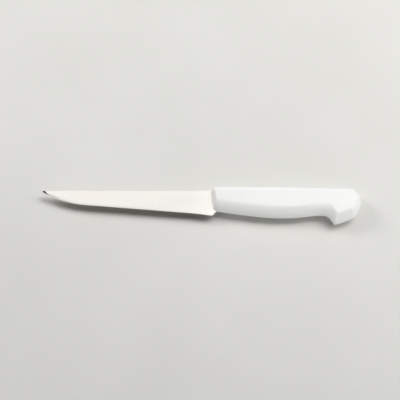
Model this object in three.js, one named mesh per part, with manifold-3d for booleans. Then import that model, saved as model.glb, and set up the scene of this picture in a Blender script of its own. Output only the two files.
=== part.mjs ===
// Cheese knife: a ground steel blade whose tang is moulded into a white plastic handle.
// Millimetres. +X runs from the tip to the pommel, +Y towards the spine, +Z up.
// The knife lies on its side. The origin is under the middle of its bounding box.
// The pieces are drawn about the middle plane of the blade: x is measured back from the front of
// the handle, y up from the blade's spine, and z from the middle plane.
import * as THREE from "three";
import { mergeVertices } from "three/addons/utils/BufferGeometryUtils.js";
import Module from "manifold-3d";

const wasm = await Module();
wasm.setup();

// Blade
const BLADE_LENGTH = 145.3; // tip to the front of the handle, along the spine
const SPINE_THICKNESS = 1.8; // at the handle
const TIP_THICKNESS = 0.76; // the spine thins towards the tip
const TAPER_START = 1; // the spine keeps its full thickness up to this far in front of the handle
const TIP_POINT = 0.4; // height of the blunt end of the tip
const TIP_NOSE_DROP = 3.55; // the edge turns up steeply over this height
const TIP_NOSE_BACK = 3.7; // and this length behind the tip
const TIP_NOSE_ROUND = 1.3; // the corner where it turns up is rounded from this far on each side
const TIP_AIM_DROP = 6.9; // the edge comes to that corner as if from a point this far below the tip
const TIP_AIM_BACK = 12.7; // and this far behind it
const TIP_DEPTH = 13.6; // blade height where the edge starts to sweep up to the tip
const TIP_BELLY = 37.3; // length of that sweep
const TIP_SWEEP = 16; // how far the sweep goes on along the straight edge
const SHOULDER_THICKNESS = 0.5; // left above the sharpened bevel
const EDGE_BEVEL = 1.7; // height of the sharpened bevel
const HEEL_DROP = 4.7; // the heel stands this far below the handle's lower lip
const HEEL_BEND_RUN = 9; // the edge drops towards the heel over this length
const HEEL_BEND_RISE = 1.75; // by this much
const HEEL_BLEND = 9; // length over which that drop runs out into the straight edge
const CHOIL_RUN = 4.25; // the cut behind the heel slopes back by this much to the lip

// Tang, inside the handle
const TANG_ROOT = 4; // the ground faces end this far behind the front of the handle
const TANG_SHOULDER = 7; // the spine steps down to the tang here
const TANG_STEP = 3.5; // by this much, at 45 degrees
const TANG_HEIGHT = 11;
const TANG_END_WALL = 33; // plastic left between the tang and the pommel's end
const HOLE_COUNT = 3; // the moulding flows through these and locks the tang
const HOLE_RADIUS = 3;
const FIRST_HOLE = 22; // behind the front of the handle

// Handle
const HANDLE_LENGTH = 128.2;
const HANDLE_THICKNESS = 16;
const SPINE_RISE = 3.5; // the handle's spine stands this far above the blade's at the front
const SPINE_FALL = 2.1; // and drops by this much over the handle's length
const SPINE_CROWN = 0.3; // with a slight swell half way
const FRONT_DEPTH = 19; // lower lip of the front, below the blade's spine
const FRONT_LEAN = 2.3; // the front curves back by this much from spine to lip
const TOP_CORNER = 4.2; // rounding of the front's upper corner
const LIP_RISE = 2; // the lower lip's rounding starts this far up the front
const LIP_RUN = 5.2; // and ends this far along the belly
const BELLY_DEPTH = 26.25; // the belly's lowest line
const BELLY_AT = 60; // behind the front
const BELLY_FULLNESS = 16.5; // how far forward the belly stays full
const WAIST_DEPTH = 23.5; // the finger rest in front of the beak
const WAIST_TO_BEAK = 11.5;
const WAIST_CREST = 8; // length of the finger rest's easing towards the belly
const BEAK_DEPTH = 32.6; // the hooked heel of the pommel
const BEAK_TO_END = 24.1;
const BEAK_LEAN = 4.2; // the hook's wall leans forward by this much from beak to finger rest
const BEAK_FLAT = 1.2; // width of the blunt point of the beak
const POMMEL_DEPTH = 10.5; // the pommel reaches furthest back at this depth
const POMMEL_ROUND = 9.5; // length of its upper round
const POMMEL_TURN = 10.4; // length of its lower round
const POMMEL_RISE = 4.75; // its underside climbs by this much from the beak to the lower round

// Bevels from the handle's widest line to its flat sides
const SPINE_BEVEL = 7;
const LIP_BEVEL = 7.9;
const BELLY_BEVEL = 7.3;
const WAIST_BEVEL = 8.6;
const BEAK_BEVEL = 7.8;
const POMMEL_BEVEL = 6.8; // at the lower round
const FRONT_BEVEL = 3.7;
const END_BEVEL = 6.5;
const HOOK_BEVEL = 2.2;

// Shape factors
const BEVEL_CROWN = 0.19; // bulge of the bevels, as a share of their width
const FLAT_CORNER = 0.4; // share of a corner's rounding that is left at the flat sides
const LIP_MEET = 0.75; // share of the lip's rounding, from the front, where the heel's cut meets it
const REST_HUG = 0.85; // how tightly the finger rest hugs its corner
const BELLY_HUG = 0.6; // how far the belly keeps its depth towards the finger rest
const END_HUG = 0.34; // how far the pommel's end keeps its reach downwards
const HEEL_HUG = 0.54; // how far the pommel's underside keeps its slope backwards

// Fit and fineness
const CLEARANCE = 0.3; // between the tang and the moulding
const CURVE_STEPS = 10;
const SECTION_STEPS = 6; // sections of each half of the handle

const { clamp, lerp } = THREE.MathUtils;
const tangEnd = HANDLE_LENGTH - TANG_END_WALL;
const tangBottom = TANG_STEP + TANG_HEIGHT;
const tangMiddle = TANG_STEP + TANG_HEIGHT / 2;
const tangTurn = tangEnd - TANG_HEIGHT / 2;
const lip = lipCurve(0).getPoint(LIP_MEET);
const heel = new THREE.Vector2(lip.x - CHOIL_RUN, lip.y - HEEL_DROP);
const choil = lip.clone().sub(heel).normalize();
const choilTop = heel.x + (choil.x / choil.y) * (-tangBottom - heel.y);

// x of the handle's front at a height y, in the middle plane.
function frontAt(y) {
  return FRONT_LEAN * (Math.min(y, 0) / FRONT_DEPTH) ** 2;
}

// y of the handle's spine line, in the middle plane, without its swell.
function spineAt(x) {
  return SPINE_RISE - (SPINE_FALL * x) / HANDLE_LENGTH;
}

// How far a bevel has come in at a distance from the middle plane.
function inset(bevel, z) {
  const t = Math.abs(z) / (HANDLE_THICKNESS / 2);
  return bevel * (t - 4 * BEVEL_CROWN * t * (1 - t));
}

// The share of a corner's rounding that is left at a distance from the middle plane.
function cornerShare(z) {
  return lerp(1, FLAT_CORNER, Math.abs(z) / (HANDLE_THICKNESS / 2));
}

// A manifold solid from a closed three.js geometry.
function solidOf(geometry) {
  const bare = geometry.clone();
  bare.deleteAttribute("normal");
  bare.deleteAttribute("uv");
  const merged = mergeVertices(bare, 1e-4);
  return new wasm.Manifold(
    new wasm.Mesh({
      numProp: 3,
      vertProperties: new Float32Array(merged.attributes.position.array),
      triVerts: new Uint32Array(merged.index.array),
    }),
  );
}

// A three.js geometry from a manifold solid.
function geometryOf(solid) {
  const mesh = solid.getMesh();
  const geometry = new THREE.BufferGeometry();
  geometry.setAttribute("position", new THREE.BufferAttribute(mesh.vertProperties, 3));
  geometry.setIndex(new THREE.BufferAttribute(mesh.triVerts, 1));
  geometry.computeVertexNormals();
  return geometry;
}

// A closed skin through rings of equal length, each anticlockwise when seen from the last one.
// flatten gives a ring's point in the plane of the two end caps.
function loft(rings, flatten) {
  const count = rings[0].length;
  const faces = [];
  for (let r = 0; r + 1 < rings.length; r++) {
    for (let i = 0; i < count; i++) {
      const a = r * count + i;
      const b = r * count + ((i + 1) % count);
      faces.push(a, b, b + count, a, b + count, a + count);
    }
  }
  const last = (rings.length - 1) * count;
  for (const [a, b, c] of THREE.ShapeUtils.triangulateShape(rings[0].map(flatten), [])) {
    faces.push(c, b, a);
  }
  for (const [a, b, c] of THREE.ShapeUtils.triangulateShape(rings.at(-1).map(flatten), [])) {
    faces.push(last + a, last + b, last + c);
  }
  const geometry = new THREE.BufferGeometry().setFromPoints(rings.flat());
  geometry.setIndex(faces);
  return geometry;
}

// A plate of a shape, centred on the middle plane.
function plate(shape, thickness) {
  const geometry = new THREE.ExtrudeGeometry(shape, {
    depth: thickness,
    bevelEnabled: false,
    curveSegments: 2 * CURVE_STEPS,
  });
  return solidOf(geometry.translate(0, 0, -thickness / 2));
}

// The cutting edge from root to tip: up from the heel, straight, a sweep, then a short steep nose.
function edgePoints() {
  const start = new THREE.Vector2(TIP_BELLY - BLADE_LENGTH, -TIP_DEPTH);
  const bend = new THREE.Vector2(heel.x - HEEL_BEND_RUN, heel.y + HEEL_BEND_RISE);
  const along = start.clone().sub(bend).normalize();
  const drop = heel.clone().sub(bend);
  const root = heel.clone().addScaledVector(drop, (choilTop - heel.x) / drop.x);
  const straight = bend.clone().addScaledVector(along, HEEL_BLEND);
  const heelCurve = new THREE.QuadraticBezierCurve(root, bend, straight);
  const tip = new THREE.Vector2(-BLADE_LENGTH, -TIP_POINT);
  const nose = new THREE.Vector2(tip.x + TIP_NOSE_BACK, tip.y - TIP_NOSE_DROP);
  const onward = start.clone().addScaledVector(along, TIP_SWEEP);
  const aim = new THREE.Vector2(tip.x + TIP_AIM_BACK, tip.y - TIP_AIM_DROP);
  const turnFrom = aim.clone().sub(nose).setLength(TIP_NOSE_ROUND).add(nose);
  const turnTo = tip.clone().sub(nose).setLength(TIP_NOSE_ROUND).add(nose);
  const sweep = new THREE.CubicBezierCurve(start, onward, aim, turnFrom);
  const turn = new THREE.QuadraticBezierCurve(turnFrom, nose, turnTo);
  const curves = [heelCurve, sweep, turn].map((curve) => curve.getPoints(CURVE_STEPS));
  return [...curves[0], ...curves[1], ...curves[2].slice(1), tip];
}

// The ground blade, in sections from tip to root: spine, flat faces and sharpened bevel.
function groundBlade(grow) {
  const sections = edgePoints().map((edge) => {
    const toTip = clamp((-edge.x - TAPER_START) / (BLADE_LENGTH - TAPER_START), 0, 1);
    const spine = lerp(SPINE_THICKNESS, TIP_THICKNESS, toTip) / 2 + grow;
    const shoulder = SHOULDER_THICKNESS / 2 + grow;
    const bevel = EDGE_BEVEL * (1 - Math.exp(edge.y / EDGE_BEVEL)); // it narrows into the tip
    return [
      new THREE.Vector3(edge.x, grow, -spine),
      new THREE.Vector3(edge.x, grow, spine),
      new THREE.Vector3(edge.x, edge.y + bevel, shoulder),
      new THREE.Vector3(edge.x, edge.y, 0),
      new THREE.Vector3(edge.x, edge.y + bevel, -shoulder),
    ];
  });
  return solidOf(loft(sections.reverse(), (p) => new THREE.Vector2(p.y, p.z)));
}

// What the sloping cut behind the heel takes off the root of the blade.
function choilCut(grow) {
  const outward = new THREE.Vector2(choil.y, -choil.x).multiplyScalar(grow);
  const low = heel.clone().add(outward).addScaledVector(choil, -HEEL_DROP);
  const high = low.clone().addScaledVector(choil, 2 * (tangBottom + HEEL_DROP));
  const shape = new THREE.Shape([low, new THREE.Vector2(high.x, low.y), high]);
  return plate(shape, HANDLE_THICKNESS);
}

// The tang: a plain strip with a round end and a row of locking holes.
function tangPlate(grow) {
  const shape = new THREE.Shape();
  shape.moveTo(TANG_ROOT - grow, grow);
  shape.lineTo(TANG_ROOT - grow, -tangBottom - grow);
  shape.absarc(tangTurn, -tangMiddle, TANG_HEIGHT / 2 + grow, -Math.PI / 2, Math.PI / 2, false);
  shape.lineTo(TANG_SHOULDER + TANG_STEP + grow, grow - TANG_STEP);
  shape.lineTo(TANG_SHOULDER + grow, grow);
  const pitch = (tangTurn - FIRST_HOLE) / (HOLE_COUNT - 1);
  for (let i = 0; i < HOLE_COUNT; i++) {
    const hole = new THREE.Path();
    hole.absarc(FIRST_HOLE + i * pitch, -tangMiddle, HOLE_RADIUS - grow, 0, 2 * Math.PI, true);
    shape.holes.push(hole);
  }
  return plate(shape, SPINE_THICKNESS + 2 * grow);
}

// Blade and tang are one piece of steel. Grown by the clearance, it is the hollow in the moulding.
function steel(grow) {
  return groundBlade(grow).subtract(choilCut(grow)).add(tangPlate(grow));
}

// The point that the belly's curve aims at from the front, at a distance from the middle plane.
function bellyAim(z) {
  return new THREE.Vector2(BELLY_AT - BELLY_FULLNESS, inset(BELLY_BEVEL, z) - BELLY_DEPTH);
}

// The rounded lower lip, from the front to the belly, at a distance from the middle plane.
function lipCurve(z) {
  const front = inset(FRONT_BEVEL, z);
  const y = inset(LIP_BEVEL, z) - FRONT_DEPTH;
  const rise = LIP_RISE * cornerShare(z);
  const corner = new THREE.Vector2(frontAt(y) + front, y);
  const above = new THREE.Vector2(frontAt(y + rise) + front, y + rise);
  const toBelly = bellyAim(z).sub(corner).setLength(LIP_RUN * cornerShare(z));
  return new THREE.QuadraticBezierCurve(above, corner, toBelly.add(corner));
}

// The handle's outline at a distance from the middle plane, anticlockwise from the lower lip.
function handleOutline(z) {
  const front = inset(FRONT_BEVEL, z);
  const spine = inset(SPINE_BEVEL, z);
  const lipRound = lipCurve(z);
  const aim = bellyAim(z);

  const beakX = HANDLE_LENGTH - BEAK_TO_END + inset(HOOK_BEVEL, z);
  const beak = new THREE.Vector2(beakX, inset(BEAK_BEVEL, z) - BEAK_DEPTH);
  const waist = new THREE.Vector2(beak.x - WAIST_TO_BEAK, inset(WAIST_BEVEL, z) - WAIST_DEPTH);
  const rest = new THREE.Vector2(beak.x - BEAK_LEAN, waist.y);
  const restFrom = waist.clone().lerp(rest, REST_HUG);
  const restTo = beak.clone().lerp(rest, REST_HUG);

  const end = new THREE.Vector2(HANDLE_LENGTH - inset(END_BEVEL, z), -POMMEL_DEPTH);
  const turnY = inset(POMMEL_BEVEL, z) + POMMEL_RISE - BEAK_DEPTH;
  const turn = new THREE.Vector2(HANDLE_LENGTH - POMMEL_TURN, turnY);
  const slope = (turn.y - beak.y) / (turn.x - beak.x - BEAK_FLAT);
  const turnRun = HEEL_HUG * (end.x - turn.x);
  const roundX = HANDLE_LENGTH - POMMEL_ROUND;
  const roundTop = spineAt(roundX) - spine;

  const corner = new THREE.Vector2(0, spineAt(0) - spine);
  corner.x = frontAt(corner.y) + front;
  const topRound = TOP_CORNER * cornerShare(z);
  const topX = corner.x + topRound;
  const topMiddle = (topX + roundX) / 2;
  const frontTop = corner.y - topRound;
  const lipTop = lipRound.v0;
  const lean = FRONT_LEAN * (frontTop / FRONT_DEPTH) * (lipTop.y / FRONT_DEPTH);

  const path = new THREE.Path();
  path.moveTo(lipRound.v2.x, lipRound.v2.y);
  path.quadraticCurveTo(aim.x, aim.y, BELLY_AT, aim.y);
  path.bezierCurveTo(
    lerp(BELLY_AT, waist.x, BELLY_HUG), aim.y, waist.x - WAIST_CREST, waist.y, waist.x, waist.y,
  );
  path.bezierCurveTo(restFrom.x, restFrom.y, restTo.x, restTo.y, beak.x, beak.y);
  path.lineTo(beak.x + BEAK_FLAT, beak.y);
  path.lineTo(turn.x, turn.y);
  path.bezierCurveTo(
    turn.x + turnRun, turn.y + turnRun * slope, end.x, lerp(end.y, turn.y, END_HUG), end.x, end.y,
  );
  path.absellipse(roundX, end.y, end.x - roundX, roundTop - end.y, 0, Math.PI / 2, false);
  path.quadraticCurveTo(topMiddle, spineAt(topMiddle) - spine + 2 * SPINE_CROWN, topX, spineAt(topX) - spine);
  path.quadraticCurveTo(corner.x, corner.y, frontAt(frontTop) + front, frontTop);
  path.quadraticCurveTo(lean + front, (frontTop + lipTop.y) / 2, lipTop.x, lipTop.y);
  path.quadraticCurveTo(lipRound.v1.x, lipRound.v1.y, lipRound.v2.x, lipRound.v2.y);
  return path.getPoints(CURVE_STEPS).slice(0, -1).map((p) => new THREE.Vector3(p.x, p.y, z));
}

// The moulded handle: outlines from side to side, less the hollow that the tang fills.
function handle() {
  const outlines = [];
  for (let i = -SECTION_STEPS; i <= SECTION_STEPS; i++) {
    const share = Math.sin((i / SECTION_STEPS) * (Math.PI / 2)); // closer together near the flat sides
    outlines.push(handleOutline((share * HANDLE_THICKNESS) / 2));
  }
  const solid = solidOf(loft(outlines, (p) => new THREE.Vector2(p.x, p.y)));
  return solid.subtract(steel(CLEARANCE));
}

const satinSteel = new THREE.MeshStandardMaterial({
  color: 0xd8d5ce,
  metalness: 1,
  roughness: 0.32,
});
const whitePlastic = new THREE.MeshStandardMaterial({
  color: 0xf2f2f0,
  metalness: 0,
  roughness: 0.4,
});

function piece(name, solid, material) {
  const mesh = new THREE.Mesh(geometryOf(solid), material);
  mesh.name = name;
  return mesh;
}

const knife = new THREE.Group();
knife.add(piece("blade", steel(0), satinSteel));
knife.add(piece("handle", handle(), whitePlastic));
knife.position.set(
  (BLADE_LENGTH - HANDLE_LENGTH) / 2,
  (BEAK_DEPTH - SPINE_RISE) / 2,
  HANDLE_THICKNESS / 2,
);

export default knife;
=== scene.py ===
"""A cheese knife lying on a pale table: a ground steel blade in a white moulded handle."""

import math

import bmesh
import bpy
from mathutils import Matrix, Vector
from mathutils.kdtree import KDTree


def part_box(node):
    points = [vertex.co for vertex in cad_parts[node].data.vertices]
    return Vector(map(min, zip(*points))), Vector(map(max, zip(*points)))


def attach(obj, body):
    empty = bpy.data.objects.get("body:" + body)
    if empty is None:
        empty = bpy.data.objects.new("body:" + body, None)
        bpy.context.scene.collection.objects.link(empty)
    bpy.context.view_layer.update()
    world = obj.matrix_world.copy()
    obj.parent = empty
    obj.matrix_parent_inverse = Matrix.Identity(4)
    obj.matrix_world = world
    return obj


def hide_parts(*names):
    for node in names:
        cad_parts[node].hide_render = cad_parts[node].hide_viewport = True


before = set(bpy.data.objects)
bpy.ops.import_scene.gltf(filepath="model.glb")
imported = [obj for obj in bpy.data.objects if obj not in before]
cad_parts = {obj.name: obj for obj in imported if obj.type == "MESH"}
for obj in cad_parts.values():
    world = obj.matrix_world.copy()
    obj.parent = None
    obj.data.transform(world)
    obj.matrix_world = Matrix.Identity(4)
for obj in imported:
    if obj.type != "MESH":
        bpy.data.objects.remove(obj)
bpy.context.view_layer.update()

MM = 0.001  # metres in a millimetre
MERGE_DISTANCE = 0.002  # points closer than this become one, in millimetres
SMOOTH_ANGLE = 35  # edges sharper than this stay crisp, in degrees

# Blade, in millimetres
BLADE_LENGTH = 145.3
SPINE_THICKNESS = 1.8
TIP_THICKNESS = 0.76
SPINE_ROUND = 0.16  # rounding along the spine's two corners
TIP_POINT = 0.4
TIP_NOSE_DROP = 3.55
TIP_NOSE_BACK = 3.7
TIP_NOSE_ROUND = 1.3
TIP_AIM_DROP = 6.9
TIP_AIM_BACK = 12.7
TIP_DEPTH = 13.6
TIP_BELLY = 37.3
TIP_SWEEP = 16.0
SHOULDER_THICKNESS = 0.5
EDGE_BEVEL = 1.7
EDGE_LAND = 0.03  # half of the blunt line that the edge ends in
HEEL_DROP = 4.7
CHOIL_RUN = 4.25
HEEL_BEND_RUN = 9.0
HEEL_BEND_RISE = 1.75
HEEL_BLEND = 9.0

# Points along each stretch of the cutting edge, from the heel to the tip
EDGE_STEPS = {"heel": 14, "straight": 30, "belly": 40, "nose": 10, "point": 8}

# Sections across the blade: points of one side, from the spine to the edge
SPINE_ROUND_STEPS = 3
FACE_SHARES = (0.012, 0.1, 0.25, 0.4, 0.55, 0.7, 0.85, 0.97, 1)  # down the ground face
BEVEL_SHARES = (0.06, 0.5, 1)  # down the sharpened bevel
SHOULDER_ROW = SPINE_ROUND_STEPS + len(FACE_SHARES)  # the point where the sharpened bevel starts
BEVEL_GROWTH = 2  # how fast the sharpened bevel widens behind the point
SHOULDER_LIMIT = 0.12  # the bevel stays this share of the blade's depth below the spine
SPINE_ROUND_LIMIT = 0.5  # the spine's rounding takes at most this share of the way to the bevel

# Tang, in millimetres
TANG_ROOT = 4.0
TANG_SHOULDER = 7.0
TANG_STEP = 3.5
TANG_HEIGHT = 11.0
TANG_END_WALL = 33.0
HOLE_COUNT = 3
HOLE_RADIUS = 3.0
FIRST_HOLE = 22.0
HOLE_VERTICES = 40
HOLE_CUTTER = 3  # height of the cutter, in thicknesses of the tang
TANG_END_STEPS = 24
TANG_THINNER = 0.02  # the tang is thinner than the spine by this much
SOCKET_GAP = 0.14  # the moulding sits this close round the steel

# Handle, in millimetres
HANDLE_LENGTH = 128.2
SPINE_RISE = 3.5
SPINE_FALL = 2.1
SPINE_CROWN = 0.3
FRONT_DEPTH = 19.0
FRONT_LEAN = 2.3
TOP_CORNER = 4.2
LIP_RISE = 2.0
LIP_RUN = 5.2
BELLY_DEPTH = 26.25
BELLY_AT = 60.0
BELLY_FULLNESS = 16.5
WAIST_DEPTH = 23.5
WAIST_TO_BEAK = 11.5
WAIST_CREST = 8.0
BEAK_DEPTH = 32.6
BEAK_TO_END = 24.1
BEAK_LEAN = 4.2
BEAK_FLAT = 1.2
BEAK_ROUND = 0.35  # the beak's rounding starts this far from its corners
POMMEL_DEPTH = 10.5
POMMEL_ROUND = 9.5
POMMEL_TURN = 10.4
POMMEL_RISE = 4.75

# Bevels of the handle, in millimetres, and the shares that shape them
SPINE_BEVEL = 7.0
LIP_BEVEL = 7.75  # at the lower lip
BELLY_BEVEL = 7.3  # at the belly's lowest line
WAIST_BEVEL = 8.6  # at the finger rest
BEAK_BEVEL = 7.8
POMMEL_BEVEL = 6.8
FRONT_BEVEL = 4.0
FRONT_EVEN = 0.5  # share of the lean that the flat side loses
END_BEVEL = 6.5
HOOK_BEVEL = 2.2
BEVEL_CROWN = 0.19
FLAT_CORNER = 0.4
LIP_MEET = 0.75
REST_HUG = 0.85
BELLY_HUG = 0.6
END_HUG = 0.34
HEEL_HUG = 0.54
CREASE_START = 0.9  # share of the half thickness where a bevel starts to round into the flat side
CREASE_REACH = 0.1  # share of a bevel's width that the rounding takes from the flat side
FLAT_RIM = 0.1  # the same, for the rim of the flat side
SEAM_HALF = 0.018  # half width of the moulding seam, as a share of the half thickness
SEAM_FOOT = 0.03  # the seam's foot, as a share of the half thickness
SEAM_STEP = 0.013  # its height, as a share of the bevel's width
SEAM_FADE = 0.4  # the surface beside the seam is back on the bevel's curve here
# How a soft bevel leaves the seam and comes to the flat side
SOFT_PULL = ((0.03, 0.53), (0.5, 1.0))
BEVEL_RINGS = 13
CREASE_RINGS = 8

# The outline's stretches from the lower lip round: number of points, and how soft the bevel is
# at the start and the end of the stretch, from 0, with a crease at the flat side, to 1, fully round
STRETCHES = {
    "belly": (30, 0.6, 0.0),
    "waist": (26, 0.0, 0.9),
    "finger_rest": (26, 0.95, 0.3),
    "beak": (8, 0.2, 0.0),
    "underside": (8, 0.0, 0.0),
    "pommel_turn": (18, 0.0, 1.0),
    "pommel_round": (16, 1.0, 0.6),
    "spine": (44, 0.6, 0.2),
    "top_corner": (10, 0.2, 0.1),
    "front": (10, 0.1, 0.1),
    "lip": (10, 0.1, 0.55),
}

# Where the drawing's zero is in the frame: the front of the handle, the blade's spine and the
# middle plane
handle_low, handle_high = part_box("handle")
blade_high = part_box("blade")[1]
front_x = handle_high.x - HANDLE_LENGTH * MM
spine_y = blade_high.y
middle_z = (handle_low.z + handle_high.z) / 2
half_thickness = (handle_high.z - handle_low.z) / 2

tang_end = HANDLE_LENGTH - TANG_END_WALL
tang_bottom = TANG_STEP + TANG_HEIGHT
tang_middle = TANG_STEP + TANG_HEIGHT / 2
tang_turn = tang_end - TANG_HEIGHT / 2


def lerp(a, b, share):
    return a + (b - a) * share


def placed(point, height):
    """The place in metres of a drawn point, at a height in metres above the middle plane."""
    return Vector((front_x + point[0] * MM, spine_y + point[1] * MM, height))


def curve(points, steps):
    """Points along a Bezier curve, without its last one."""
    found = []
    for i in range(steps):
        share = i / steps
        row = [Vector(p) for p in points]
        while len(row) > 1:
            row = [a.lerp(b, share) for a, b in zip(row, row[1:])]
        found.append(row[0])
    return found


# Working with selections

def deselect_everything():
    if bpy.context.mode != "OBJECT":
        bpy.ops.object.mode_set(mode="OBJECT")
    bpy.ops.object.select_all(action="DESELECT")


def pick(piece):
    deselect_everything()
    piece.select_set(True)
    bpy.context.view_layer.objects.active = piece


def start_edit(piece):
    pick(piece)
    bpy.ops.object.mode_set(mode="EDIT")


def end_edit():
    bpy.ops.object.mode_set(mode="OBJECT")


def named(piece, name):
    piece.name = name
    piece.data.name = name
    return piece


def ring_of(name, points):
    """A closed line of edges through the points, started from a circle."""
    deselect_everything()
    bpy.ops.mesh.primitive_circle_add(vertices=len(points), radius=half_thickness)
    piece = named(bpy.context.object, name)
    for vertex, place in zip(piece.data.vertices, points):
        vertex.co = place
    return piece


def extrude_ring(piece, before, after):
    """Extrudes the selected ring, which lies on one list of points, onto the next list."""
    finder = KDTree(len(before))
    for i, place in enumerate(before):
        finder.insert(place, i)
    finder.balance()
    bpy.ops.mesh.extrude_region_move()
    shape = bmesh.from_edit_mesh(piece.data)
    for vertex in shape.verts:
        if vertex.select:
            vertex.co = after[finder.find(vertex.co)[1]]
    bmesh.update_edit_mesh(piece.data)


def close_shape(piece):
    """Merges doubled points and turns every face outwards."""
    start_edit(piece)
    bpy.ops.mesh.select_all(action="SELECT")
    bpy.ops.mesh.remove_doubles(threshold=MERGE_DISTANCE * MM)
    bpy.ops.mesh.normals_make_consistent(inside=False)
    end_edit()


def mirror_below(piece):
    """Adds the other half of a piece, below the middle plane."""
    pick(piece)
    mirror = piece.modifiers.new("other_half", "MIRROR")
    mirror.use_axis = (False, False, True)
    mirror.merge_threshold = MERGE_DISTANCE * MM
    bpy.ops.object.modifier_apply(modifier=mirror.name)
    close_shape(piece)


def combine(piece, tool, operation):
    """Cuts a tool out of a piece or joins it on, and removes the tool."""
    pick(piece)
    cut = piece.modifiers.new("combine", "BOOLEAN")
    cut.operation = operation
    cut.solver = "EXACT"
    cut.object = tool
    bpy.ops.object.modifier_apply(modifier=cut.name)
    pick(tool)
    bpy.ops.object.delete()
    close_shape(piece)


def lift_to_place(piece):
    """Moves a finished shape up from the middle plane to where the knife lies."""
    start_edit(piece)
    bpy.ops.mesh.select_all(action="SELECT")
    bpy.ops.transform.translate(value=(0, 0, middle_z))
    end_edit()


def smooth(piece, degrees):
    pick(piece)
    bpy.ops.object.shade_smooth_by_angle(angle=math.radians(degrees))


# Outline of the handle

def bevel_share(height):
    """The share of a bevel that is cut away at a share of the half thickness."""
    return height - 4 * BEVEL_CROWN * height * (1 - height)


def front_at(v, cut):
    """The front leans back more and more towards the lower lip, and less so at the flat side."""
    return FRONT_LEAN * (1 - FRONT_EVEN * cut) * (min(v, 0) / FRONT_DEPTH) ** 2 + FRONT_BEVEL * cut


def spine_at(u):
    return SPINE_RISE - SPINE_FALL * u / HANDLE_LENGTH


def belly_aim(cut):
    return Vector((BELLY_AT - BELLY_FULLNESS, BELLY_BEVEL * cut - BELLY_DEPTH))


def lip_points(cut, height):
    """Start, corner and end of the rounded lower lip."""
    v = LIP_BEVEL * cut - FRONT_DEPTH
    scale = lerp(1, FLAT_CORNER, height)
    rise = LIP_RISE * scale
    corner = Vector((front_at(v, cut), v))
    above = Vector((front_at(v + rise, cut), v + rise))
    return above, corner, corner + (belly_aim(cut) - corner).normalized() * (LIP_RUN * scale)


def quarter_round(centre, reach, steps):
    """Points of a quarter of an ellipse, from its side to its top, without the last one."""
    angles = [math.pi / 2 * i / steps for i in range(steps)]
    return [centre + Vector((reach.x * math.cos(a), reach.y * math.sin(a))) for a in angles]


def handle_outline(cut, height):
    """The outline where a share of the bevels is cut away, at a share of the half thickness."""
    spine = SPINE_BEVEL * cut
    steps = {name: stretch[0] for name, stretch in STRETCHES.items()}
    lip_start, lip_corner, lip_end = lip_points(cut, height)
    aim = belly_aim(cut)
    low = Vector((BELLY_AT, aim.y))

    beak = Vector((HANDLE_LENGTH - BEAK_TO_END + HOOK_BEVEL * cut, BEAK_BEVEL * cut - BEAK_DEPTH))
    beak_back = beak + Vector((BEAK_FLAT, 0))
    waist = Vector((beak.x - WAIST_TO_BEAK, WAIST_BEVEL * cut - WAIST_DEPTH))
    rest = Vector((beak.x - BEAK_LEAN, waist.y))
    crest = waist - Vector((WAIST_CREST, 0))
    low_end = Vector((lerp(BELLY_AT, waist.x, BELLY_HUG), aim.y))

    end = Vector((HANDLE_LENGTH - END_BEVEL * cut, -POMMEL_DEPTH))
    turn = Vector((HANDLE_LENGTH - POMMEL_TURN, POMMEL_BEVEL * cut + POMMEL_RISE - BEAK_DEPTH))
    under = (turn - beak_back).normalized()
    turn_pull = turn + under * (HEEL_HUG * (end.x - turn.x) / under.x)
    end_pull = Vector((end.x, lerp(end.y, turn.y, END_HUG)))
    round_x = HANDLE_LENGTH - POMMEL_ROUND
    round_top = Vector((round_x, spine_at(round_x) - spine))
    hook_end = beak + (rest - beak).normalized() * BEAK_ROUND
    under_start = beak_back + under * BEAK_ROUND

    corner = Vector((0, spine_at(0) - spine))
    corner.x = front_at(corner.y, cut)
    top_round = TOP_CORNER * lerp(1, FLAT_CORNER, height)
    top_front = Vector((corner.x + top_round, spine_at(corner.x + top_round) - spine))
    top_middle = (top_front.x + round_x) / 2
    top_lift = Vector((top_middle, spine_at(top_middle) - spine + 2 * SPINE_CROWN))
    front_top = Vector((front_at(corner.y - top_round, cut), corner.y - top_round))

    points = curve([lip_end, aim, low], steps["belly"])
    points += curve([low, low_end, crest, waist], steps["waist"])
    hug_waist = waist.lerp(rest, REST_HUG)
    hug_hook = hook_end.lerp(rest, REST_HUG)
    points += curve([waist, hug_waist, hug_hook, hook_end], steps["finger_rest"])
    points += curve([hook_end, beak, beak_back, under_start], steps["beak"])
    points += curve([under_start, turn], steps["underside"])
    points += curve([turn, turn_pull, end_pull, end], steps["pommel_turn"])
    centre = Vector((round_x, end.y))
    reach = Vector((end.x - round_x, round_top.y - end.y))
    points += quarter_round(centre, reach, steps["pommel_round"])
    points += curve([round_top, top_lift, top_front], steps["spine"])
    points += curve([top_front, corner, front_top], steps["top_corner"])
    for i in range(steps["front"]):
        v = lerp(front_top.y, lip_start.y, i / steps["front"])
        points.append(Vector((front_at(v, cut), v)))
    points += curve([lip_start, lip_corner, lip_end], steps["lip"])
    return points


def outline_softness():
    """How soft the bevel is at each point of the outline."""
    softness = []
    for steps, start, stop in STRETCHES.values():
        softness += [lerp(start, stop, i / steps) for i in range(steps)]
    return softness


def seam_profile():
    """(share of the bevels cut away, share of the half thickness) over the moulding seam."""
    return [(0.0, 0.0), (0.0, SEAM_HALF), (SEAM_STEP, SEAM_FOOT)]


def flat_profile():
    """The start of the flat side, and a rim a little further in."""
    return [(1 + CREASE_REACH, 1), (1 + CREASE_REACH + FLAT_RIM, 1)]


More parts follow.
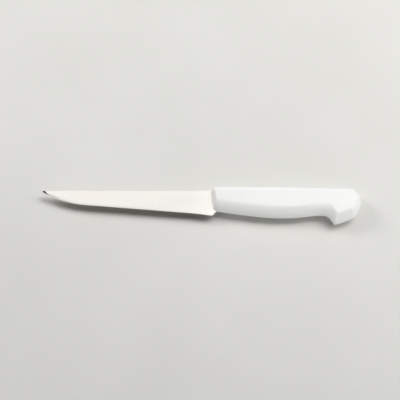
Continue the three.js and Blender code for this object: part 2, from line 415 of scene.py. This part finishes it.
def crisp_profile():
    """A gently crowned bevel that meets the flat side in a narrow rounding."""
    profile = seam_profile()
    for i in range(1, BEVEL_RINGS + 1):
        height = lerp(SEAM_FOOT, CREASE_START, i / (BEVEL_RINGS + 1))
        beside_seam = SEAM_STEP * max(0, 1 - height / SEAM_FADE) ** 2
        profile.append((bevel_share(height) + beside_seam, height))
    crease = [(bevel_share(CREASE_START), CREASE_START), (1, 1), (1 + CREASE_REACH, 1)]
    return profile + [tuple(point) for point in curve(crease, CREASE_RINGS)] + flat_profile()


def soft_profile():
    """A bevel that turns evenly from the seam to the flat side."""
    rings = BEVEL_RINGS + CREASE_RINGS + 1
    turn = [(SEAM_STEP, SEAM_FOOT), *SOFT_PULL, (1 + CREASE_REACH, 1)]
    points = [tuple(point) for point in curve(turn, rings)]
    return seam_profile() + points[1:] + flat_profile()


def handle_rings():
    """Rings of places from the seam up to the flat side, crisp or soft along the outline."""
    softness = outline_softness()
    rings = []
    for crisp, soft in zip(crisp_profile(), soft_profile()):
        crisp_ring = [placed(point, crisp[1] * half_thickness) for point in handle_outline(*crisp)]
        soft_ring = [placed(point, soft[1] * half_thickness) for point in handle_outline(*soft)]
        rings.append([a.lerp(b, share) for a, b, share in zip(crisp_ring, soft_ring, softness)])
    return rings


def model_handle():
    """The white moulding: rings from the seam up to the flat side, mirrored to the other side."""
    rings = handle_rings()
    handle = ring_of("knife_handle", rings[0])
    start_edit(handle)
    bpy.ops.mesh.select_all(action="SELECT")
    for before, after in zip(rings, rings[1:]):
        extrude_ring(handle, before, after)
    bpy.ops.mesh.edge_face_add()
    bpy.ops.mesh.quads_convert_to_tris(ngon_method="BEAUTY")
    end_edit()
    mirror_below(handle)
    return handle


# Blade

lip_start, lip_corner, lip_end = lip_points(0, 0)
lip = lip_start.lerp(lip_corner, LIP_MEET).lerp(lip_corner.lerp(lip_end, LIP_MEET), LIP_MEET)
heel = lip - Vector((CHOIL_RUN, HEEL_DROP))
choil = (lip - heel).normalized()
choil_top = heel.x + choil.x / choil.y * (-tang_bottom - heel.y)
heel_bend = heel + Vector((-HEEL_BEND_RUN, HEEL_BEND_RISE))


def edge_stations():
    """Points along the cutting edge from the root to the tip, each with the direction across it."""
    start = Vector((TIP_BELLY - BLADE_LENGTH, -TIP_DEPTH))
    along = (start - heel_bend).normalized()
    kick = heel - heel_bend
    root = heel + kick * ((choil_top - heel.x) / kick.x)
    tip = Vector((-BLADE_LENGTH, -TIP_POINT))
    nose = tip + Vector((TIP_NOSE_BACK, -TIP_NOSE_DROP))
    aim = tip + Vector((TIP_AIM_BACK, -TIP_AIM_DROP))
    turn_start = nose + (aim - nose).normalized() * TIP_NOSE_ROUND
    turn_end = nose + (tip - nose).normalized() * TIP_NOSE_ROUND
    straight = heel_bend + along * HEEL_BLEND
    sweep = start + along * TIP_SWEEP
    points = curve([root, heel_bend, straight], EDGE_STEPS["heel"])
    points += curve([straight, start], EDGE_STEPS["straight"])
    points += curve([start, sweep, aim, turn_start], EDGE_STEPS["belly"])
    points += curve([turn_start, nose, turn_end], EDGE_STEPS["nose"])
    points += curve([turn_end, tip], EDGE_STEPS["point"])
    points.append(tip)
    stations = []
    for i, point in enumerate(points):
        run = points[min(i + 1, len(points) - 1)] - points[max(i - 1, 0)]
        stations.append((point, Vector((run.y, -run.x)).normalized()))
    return stations


def spine_half(u):
    share = min(max(-u / BLADE_LENGTH, 0), 1)
    return lerp(SPINE_THICKNESS, TIP_THICKNESS, share) / 2


grind_slope = (SPINE_THICKNESS - SHOULDER_THICKNESS) / 2 / (-heel.y - EDGE_BEVEL)


def face_half(point):
    """Half thickness of the ground faces, which are flat from the spine to the sharpened bevel."""
    return spine_half(point.x) + grind_slope * point.y


def blade_section(edge, across):
    """Points (u, v, half thickness) of one side, from the spine to the edge."""
    depth = -edge.y
    bevel = EDGE_BEVEL * (1 - math.exp(-BEVEL_GROWTH * (depth + TIP_POINT) / EDGE_BEVEL))
    shoulder = edge + across * bevel
    shoulder.y = min(shoulder.y, -SHOULDER_LIMIT * depth)
    spine_round = min(SPINE_ROUND, -SPINE_ROUND_LIMIT * shoulder.y)
    section = []
    for i in range(SPINE_ROUND_STEPS + 1):
        angle = math.pi / 2 * i / SPINE_ROUND_STEPS
        v = -spine_round * (1 - math.cos(angle))
        half = spine_half(shoulder.x) - spine_round * (1 - math.sin(angle))
        section.append((shoulder.x, v, half))
    top = Vector((shoulder.x, -spine_round))
    for share in FACE_SHARES:
        point = top.lerp(shoulder, share)
        section.append((point.x, point.y, face_half(point)))
    for share in BEVEL_SHARES:
        point = shoulder.lerp(edge, share)
        section.append((point.x, point.y, lerp(face_half(shoulder), EDGE_LAND, share)))
    return section


def model_blade():
    """The ground blade from the tip to its root, with the cut behind the heel."""
    sections = [blade_section(edge, across) for edge, across in edge_stations()]
    columns = len(sections) - 1
    rows = len(sections[0]) - 1
    deselect_everything()
    bpy.ops.mesh.primitive_grid_add(x_subdivisions=columns, y_subdivisions=rows, size=2)
    blade = named(bpy.context.object, "knife_blade")
    row_of = []
    for vertex in blade.data.vertices:
        column = round((vertex.co.x + 1) / 2 * columns)
        row = round((vertex.co.y + 1) / 2 * rows)
        u, v, half = sections[column][row]
        vertex.co = placed((u, v), half * MM)
        row_of.append(row)
    blade.data.materials.append(satin_steel())
    blade.data.materials.append(sharpened_steel())
    for face in blade.data.polygons:
        if min(row_of[i] for i in face.vertices) >= SHOULDER_ROW:
            face.material_index = 1
    start_edit(blade)
    bpy.ops.mesh.select_mode(type="EDGE")
    bpy.ops.mesh.select_all(action="DESELECT")
    bpy.ops.mesh.select_non_manifold()
    bpy.ops.mesh.extrude_region_move()
    shape = bmesh.from_edit_mesh(blade.data)
    for vertex in shape.verts:
        if vertex.select:
            vertex.co.z = 0
    bmesh.update_edit_mesh(blade.data)
    end_edit()
    mirror_below(blade)
    start_edit(blade)
    bpy.ops.mesh.select_all(action="SELECT")
    bpy.ops.mesh.bisect(
        plane_co=placed(heel, 0),
        plane_no=(choil.y, -choil.x, 0),
        use_fill=True,
        clear_outer=True,
    )
    end_edit()
    close_shape(blade)
    return blade


def model_tang():
    """The strip inside the handle, with a round end and the holes that lock it."""
    outline = [
        Vector((TANG_ROOT, 0)),
        Vector((TANG_ROOT, -tang_bottom)),
    ]
    for i in range(TANG_END_STEPS + 1):
        angle = math.pi * (i / TANG_END_STEPS - 0.5)
        reach = Vector((math.cos(angle), math.sin(angle))) * (TANG_HEIGHT / 2)
        outline.append(Vector((tang_turn, -tang_middle)) + reach)
    outline.append(Vector((TANG_SHOULDER + TANG_STEP, -TANG_STEP)))
    outline.append(Vector((TANG_SHOULDER, 0)))
    thickness = (SPINE_THICKNESS - TANG_THINNER) * MM
    tang = ring_of("tang", [placed(point, -thickness / 2) for point in outline])
    start_edit(tang)
    bpy.ops.mesh.select_all(action="SELECT")
    bpy.ops.mesh.edge_face_add()
    bpy.ops.mesh.extrude_region_move(TRANSFORM_OT_translate={"value": (0, 0, thickness)})
    end_edit()
    close_shape(tang)
    pitch = (tang_turn - FIRST_HOLE) / (HOLE_COUNT - 1)
    for i in range(HOLE_COUNT):
        deselect_everything()
        bpy.ops.mesh.primitive_cylinder_add(
            vertices=HOLE_VERTICES,
            radius=HOLE_RADIUS * MM,
            depth=HOLE_CUTTER * thickness,
            location=placed((FIRST_HOLE + i * pitch, -tang_middle), 0),
        )
        combine(tang, bpy.context.object, "DIFFERENCE")
    return tang


def cut_socket(handle, blade):
    """Opens the moulding for the steel, with a hair of room all round."""
    pick(blade)
    bpy.ops.object.duplicate()
    tool = named(bpy.context.object, "socket_tool")
    room = tool.modifiers.new("room", "DISPLACE")
    room.strength = SOCKET_GAP * MM
    room.mid_level = 0
    bpy.ops.object.modifier_apply(modifier=room.name)
    combine(handle, tool, "DIFFERENCE")


# Materials

# Polish near the blade's point: how much smoother, and the distances from the point in millimetres
# where that starts to fade and where it ends
POINT_POLISH = ((0.16, 2.2, 4.4), (0.06, 6.0, 20.0))

# Steel: colours of light and dark grinding lines, and how much the lines and clouds vary
SATIN_TONES = ((0.759, 0.74, 0.706), (0.73, 0.711, 0.676))
SHARPENED_TONES = ((0.725, 0.712, 0.688), (0.665, 0.652, 0.627))
WARM_TINT = (0.985, 0.965, 0.93)
WARM_SHARE = 0.8
FINE_SHARE = 0.75  # the fine lines' share, and the broad ones have the rest
FINE_LINES = (1, 0.012, 0.012)  # stretch of the noise that makes long lines
BROAD_LINES = (1, 0.03, 0.03)
BROAD_RATIO = 5  # broad lines are this much wider apart than fine ones
ROUGHNESS_SPREAD = 0.03

# Plastic: colours of the cloudy tone and of the rubbed places, and roughness
PLASTIC_TONES = ((0.885, 0.881, 0.868), (0.9, 0.898, 0.888))
RUBBED_TONE = (0.85, 0.845, 0.828)
PLASTIC_ROUGHNESS = (0.36, 0.44)
RUBBED_ROUGHNESS = 0.1  # added where the plastic is rubbed
RUB_STRETCH = (0.25, 2.2, 2.2)
GLOW_RADIUS = (0.0012, 0.0011, 0.001)  # how far light goes under the surface, in metres
GLOW_WEIGHT = 0.06

# Parts of a noise's range that the maps below follow
NOISE_RANGE = (0.3, 0.7)
TONE_RANGE = (0.35, 0.65)
RUB_RANGE = (0.62, 0.76)
WARM_RANGE = (0.45, 0.75)


def new_material(name):
    material = bpy.data.materials.new(name)
    material.use_nodes = True
    return material, material.node_tree, material.node_tree.nodes["Principled BSDF"]


def add_node(tree, kind, values=(), **settings):
    """A node with its settings, and its input sockets set by name."""
    made = tree.nodes.new(kind)
    for name, value in settings.items():
        setattr(made, name, value)
    for name, value in dict(values).items():
        made.inputs[name].default_value = value
    return made


def surface_noise(tree, scale, detail, stretch=(1, 1, 1), turn=0.0):
    """Noise in the object's own coordinates, stretched along an axis where that is asked for."""
    place = add_node(tree, "ShaderNodeTexCoord")
    rotation = (0, 0, math.radians(turn))
    fit = add_node(tree, "ShaderNodeMapping", {"Scale": stretch, "Rotation": rotation})
    noise = add_node(tree, "ShaderNodeTexNoise", {"Scale": scale, "Detail": detail})
    tree.links.new(place.outputs["Object"], fit.inputs["Vector"])
    tree.links.new(fit.outputs["Vector"], noise.inputs["Vector"])
    return noise.outputs["Fac"]


def between(tree, source, low, high, to_low, to_high):
    """Maps a range of one value to a range of another."""
    fit = add_node(
        tree,
        "ShaderNodeMapRange",
        {"From Min": low, "From Max": high, "To Min": to_low, "To Max": to_high},
    )
    tree.links.new(source, fit.inputs["Value"])
    return fit.outputs["Result"]


def blend(tree, share, first, second):
    """A colour between two, each a colour or another node's colour."""
    mix = add_node(tree, "ShaderNodeMix", data_type="RGBA")
    tree.links.new(share, mix.inputs[0])
    for socket, colour in ((mix.inputs[6], first), (mix.inputs[7], second)):
        if isinstance(colour, tuple):
            socket.default_value = (*colour, 1)
        else:
            tree.links.new(colour, socket)
    return mix.outputs[2]


def summed(tree, first, second):
    total = add_node(tree, "ShaderNodeMath", operation="ADD")
    tree.links.new(first, total.inputs[0])
    tree.links.new(second, total.inputs[1])
    return total.outputs[0]


def raised(tree, height, strength, distance, below=None):
    """A bump from a height, on top of another bump if one is given."""
    bump = add_node(tree, "ShaderNodeBump", {"Strength": strength, "Distance": distance})
    tree.links.new(height, bump.inputs["Height"])
    if below is not None:
        tree.links.new(below, bump.inputs["Normal"])
    return bump.outputs["Normal"]


def white_plastic():
    """Satin white moulding with a fine grain, shallow sinks, a cloudy tone and faint rub marks."""
    material, tree, surface = new_material("white_moulded_plastic")
    cloud = surface_noise(tree, scale=42, detail=3)
    rubs = surface_noise(tree, scale=60, detail=4, stretch=RUB_STRETCH, turn=12)
    grain = surface_noise(tree, scale=2600, detail=2)
    sink = surface_noise(tree, scale=38, detail=1)
    tone = blend(tree, between(tree, cloud, *TONE_RANGE, 0, 1), *PLASTIC_TONES)
    rubbed = between(tree, rubs, *RUB_RANGE, 0, 1)
    worn = blend(tree, rubbed, tone, RUBBED_TONE)
    gloss = between(tree, cloud, *NOISE_RANGE, *PLASTIC_ROUGHNESS)
    rough = summed(tree, gloss, between(tree, rubbed, 0, 1, 0, RUBBED_ROUGHNESS))
    tree.links.new(worn, surface.inputs["Base Color"])
    tree.links.new(rough, surface.inputs["Roughness"])
    sunk = raised(tree, sink, strength=0.3, distance=0.0004)
    grained = raised(tree, grain, strength=0.16, distance=0.00004, below=sunk)
    tree.links.new(grained, surface.inputs["Normal"])
    surface.inputs["Subsurface Weight"].default_value = GLOW_WEIGHT
    surface.inputs["Subsurface Radius"].default_value = GLOW_RADIUS
    surface.inputs["Subsurface Scale"].default_value = 1
    return material


def near_point(tree, amount, fade_start, fade_end):
    """An amount at the blade's point that fades to nothing behind it."""
    tip = front_x - BLADE_LENGTH * MM
    place = add_node(tree, "ShaderNodeTexCoord")
    along = add_node(tree, "ShaderNodeSeparateXYZ")
    tree.links.new(place.outputs["Object"], along.inputs["Vector"])
    return between(tree, along.outputs["X"], tip + fade_start * MM, tip + fade_end * MM, amount, 0)


def ground_steel(name, light, dark, line_scale, turn, roughness, polishes=()):
    """Steel with grinding lines across the blade, a warm cloudy cast and an uneven gloss."""
    material, tree, surface = new_material(name)
    fine = surface_noise(tree, line_scale, detail=3, stretch=FINE_LINES, turn=turn)
    broad = surface_noise(tree, line_scale / BROAD_RATIO, detail=3, stretch=BROAD_LINES, turn=turn)
    cloud = surface_noise(tree, scale=26, detail=3)
    fine_part = between(tree, fine, *NOISE_RANGE, 0, FINE_SHARE)
    broad_part = between(tree, broad, *NOISE_RANGE, 0, 1 - FINE_SHARE)
    lines = summed(tree, fine_part, broad_part)
    metal = blend(tree, lines, dark, light)
    warm = tuple(part * tint for part, tint in zip(light, WARM_TINT))
    shade = blend(tree, between(tree, cloud, *WARM_RANGE, 0, WARM_SHARE), metal, warm)
    tree.links.new(shade, surface.inputs["Base Color"])
    polish = between(tree, lines, 0, 1, roughness + ROUGHNESS_SPREAD, roughness - ROUGHNESS_SPREAD)
    unevenness = between(tree, cloud, *NOISE_RANGE, -ROUGHNESS_SPREAD, ROUGHNESS_SPREAD)
    gloss = summed(tree, polish, unevenness)
    for amount, fade_start, fade_end in polishes:
        gloss = summed(tree, gloss, near_point(tree, -amount, fade_start, fade_end))
    tree.links.new(gloss, surface.inputs["Roughness"])
    ground = raised(tree, lines, strength=0.06, distance=0.00002)
    tree.links.new(ground, surface.inputs["Normal"])
    surface.inputs["Metallic"].default_value = 1
    return material


def satin_steel():
    return ground_steel("satin_ground_steel", *SATIN_TONES, line_scale=1900, turn=2, roughness=0.33)


def sharpened_steel():
    return ground_steel(
        "sharpened_steel",
        *SHARPENED_TONES,
        line_scale=3600,
        turn=-14,
        roughness=0.31,
        polishes=POINT_POLISH,
    )


# Table, light and camera

CAMERA_TARGET = (-0.0009, 0.00571, 0.008)
CAMERA_ELEVATION = 62
CAMERA_DISTANCE = 0.8103
CAMERA_LENS = 85
CAMERA_SENSOR = 36
CAMERA_CLIP = 0.01  # nothing nearer than this is seen, in metres
TABLE_SIZE = 6
TABLE_TONES = ((0.735, 0.728, 0.697), (0.767, 0.76, 0.73))
TABLE_ROUGHNESS = 0.75
TABLE_SPECULAR = 0.2
ROOM_LIGHT = 0.03  # also the brightness of the ceiling
WALL_LIGHT = 0.42  # brightness of the walls, seen in reflections only
BACKDROP_LIGHT = 0.66  # brightness of what the camera sees beyond the table
# Metres from the knife where the table starts to run into the backdrop, and where it has done so
TABLE_FADE = (0.5, 1.3)
# Sine of the height angle where the walls start to darken, and where they end
WALL_TOP = (0.68, 0.86)
# Turn and height in degrees, distance, width and depth in metres, brightness of the lamp's face
SOFTBOXES = {
    "right_softbox": (82, 36, 1.3, 0.5, 1.0, 3.05),
    "right_back_softbox": (57, 54, 1.3, 0.6, 0.6, 5.7),
    "left_back_softbox": (300, 32, 1.3, 0.5, 0.5, 8.8),
    "top_softbox": (46, 72, 1.3, 0.5, 0.5, 2.6),
    "left_top_softbox": (318, 72, 1.3, 0.5, 0.5, 1.15),
    "back_softbox": (347, 52, 1.3, 0.9, 0.5, 1.3),
    "front_strip": (170, 4, 2.6, 2.4, 0.32, 10.8),
}
GLARE_FREE = ("front_strip",)  # lamps that reflections don't show


def fade_into_backdrop(tree, surface):
    """Far from the knife, the camera and reflections see the backdrop's brightness on the table."""
    place = add_node(tree, "ShaderNodeTexCoord")
    distance = add_node(tree, "ShaderNodeVectorMath", operation="LENGTH")
    tree.links.new(place.outputs["Object"], distance.inputs[0])
    far = between(tree, distance.outputs["Value"], *TABLE_FADE, 0, 1)
    path = add_node(tree, "ShaderNodeLightPath")
    looked_at = summed(tree, path.outputs["Is Camera Ray"], path.outputs["Is Glossy Ray"])
    share = add_node(tree, "ShaderNodeMath", operation="MULTIPLY")
    tree.links.new(far, share.inputs[0])
    tree.links.new(looked_at, share.inputs[1])
    backdrop = add_node(tree, "ShaderNodeEmission", {"Strength": BACKDROP_LIGHT})
    mix = add_node(tree, "ShaderNodeMixShader")
    tree.links.new(share.outputs[0], mix.inputs[0])
    tree.links.new(surface.outputs[0], mix.inputs[1])
    tree.links.new(backdrop.outputs[0], mix.inputs[2])
    tree.links.new(mix.outputs[0], tree.nodes["Material Output"].inputs["Surface"])


def lay_table():
    deselect_everything()
    bpy.ops.mesh.primitive_plane_add(size=TABLE_SIZE)
    table = named(bpy.context.object, "table")
    material, tree, surface = new_material("pale_table")
    cloud = surface_noise(tree, scale=9, detail=5)
    tone = blend(tree, between(tree, cloud, *TONE_RANGE, 0, 1), *TABLE_TONES)
    tree.links.new(tone, surface.inputs["Base Color"])
    surface.inputs["Roughness"].default_value = TABLE_ROUGHNESS
    surface.inputs["Specular IOR Level"].default_value = TABLE_SPECULAR
    fade_into_backdrop(tree, surface)
    table.data.materials.append(material)


def hang_softbox(name, turn, height, distance, width, depth, brightness):
    """A soft lamp that faces the knife, turned clockwise from the back and raised by degrees."""
    turn = math.radians(turn)
    height = math.radians(height)
    level = math.cos(height)
    place = Vector((math.sin(turn) * level, math.cos(turn) * level, math.sin(height))) * distance
    deselect_everything()
    bpy.ops.object.light_add(type="AREA", location=place)
    lamp = named(bpy.context.object, name)
    lamp.data.shape = "RECTANGLE"
    lamp.data.size = width
    lamp.data.size_y = depth
    lamp.data.energy = brightness * math.pi * width * depth
    lamp.rotation_euler = (-place).to_track_quat("-Z", "Y").to_euler()
    lamp.visible_glossy = name not in GLARE_FREE


def light_studio():
    """Softboxes at the right, behind and above, a low strip in front that fills the belly without
    paling the shadow, and a dim room with pale walls."""
    world = bpy.data.worlds.new("studio")
    world.use_nodes = True
    tree = world.node_tree
    room = tree.nodes["Background"]
    room.inputs["Color"].default_value = (1, 1, 1, 1)
    path = add_node(tree, "ShaderNodeLightPath")
    place = add_node(tree, "ShaderNodeTexCoord")
    direction = add_node(tree, "ShaderNodeSeparateXYZ")
    tree.links.new(place.outputs["Generated"], direction.inputs["Vector"])
    walls = between(tree, direction.outputs["Z"], *WALL_TOP, WALL_LIGHT, ROOM_LIGHT)
    reflected = add_node(tree, "ShaderNodeMix", {"A": ROOM_LIGHT})
    tree.links.new(path.outputs["Is Glossy Ray"], reflected.inputs["Factor"])
    tree.links.new(walls, reflected.inputs["B"])
    seen = add_node(tree, "ShaderNodeMix", {"B": BACKDROP_LIGHT})
    tree.links.new(path.outputs["Is Camera Ray"], seen.inputs["Factor"])
    tree.links.new(reflected.outputs["Result"], seen.inputs["A"])
    tree.links.new(seen.outputs["Result"], room.inputs["Strength"])
    bpy.context.scene.world = world
    for name, values in SOFTBOXES.items():
        hang_softbox(name, *values)


def place_camera():
    target = Vector(CAMERA_TARGET)
    tilt = math.radians(CAMERA_ELEVATION)
    away = Vector((0, -math.cos(tilt), math.sin(tilt)))
    deselect_everything()
    bpy.ops.object.camera_add(location=target + away * CAMERA_DISTANCE)
    camera = named(bpy.context.object, "camera")
    camera.rotation_euler = (-away).to_track_quat("-Z", "Y").to_euler()
    camera.data.lens = CAMERA_LENS
    camera.data.sensor_width = CAMERA_SENSOR
    camera.data.clip_start = CAMERA_CLIP
    bpy.context.scene.camera = camera


handle = model_handle()
blade = model_blade()
combine(blade, model_tang(), "UNION")
cut_socket(handle, blade)
for piece in (handle, blade):
    lift_to_place(piece)
    smooth(piece, SMOOTH_ANGLE)
handle.data.materials.clear()
handle.data.materials.append(white_plastic())

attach(handle, "root")
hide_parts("handle")
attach(blade, "root")
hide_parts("blade")

lay_table()
light_studio()
place_camera()
bpy.context.scene.view_settings.view_transform = "Standard"
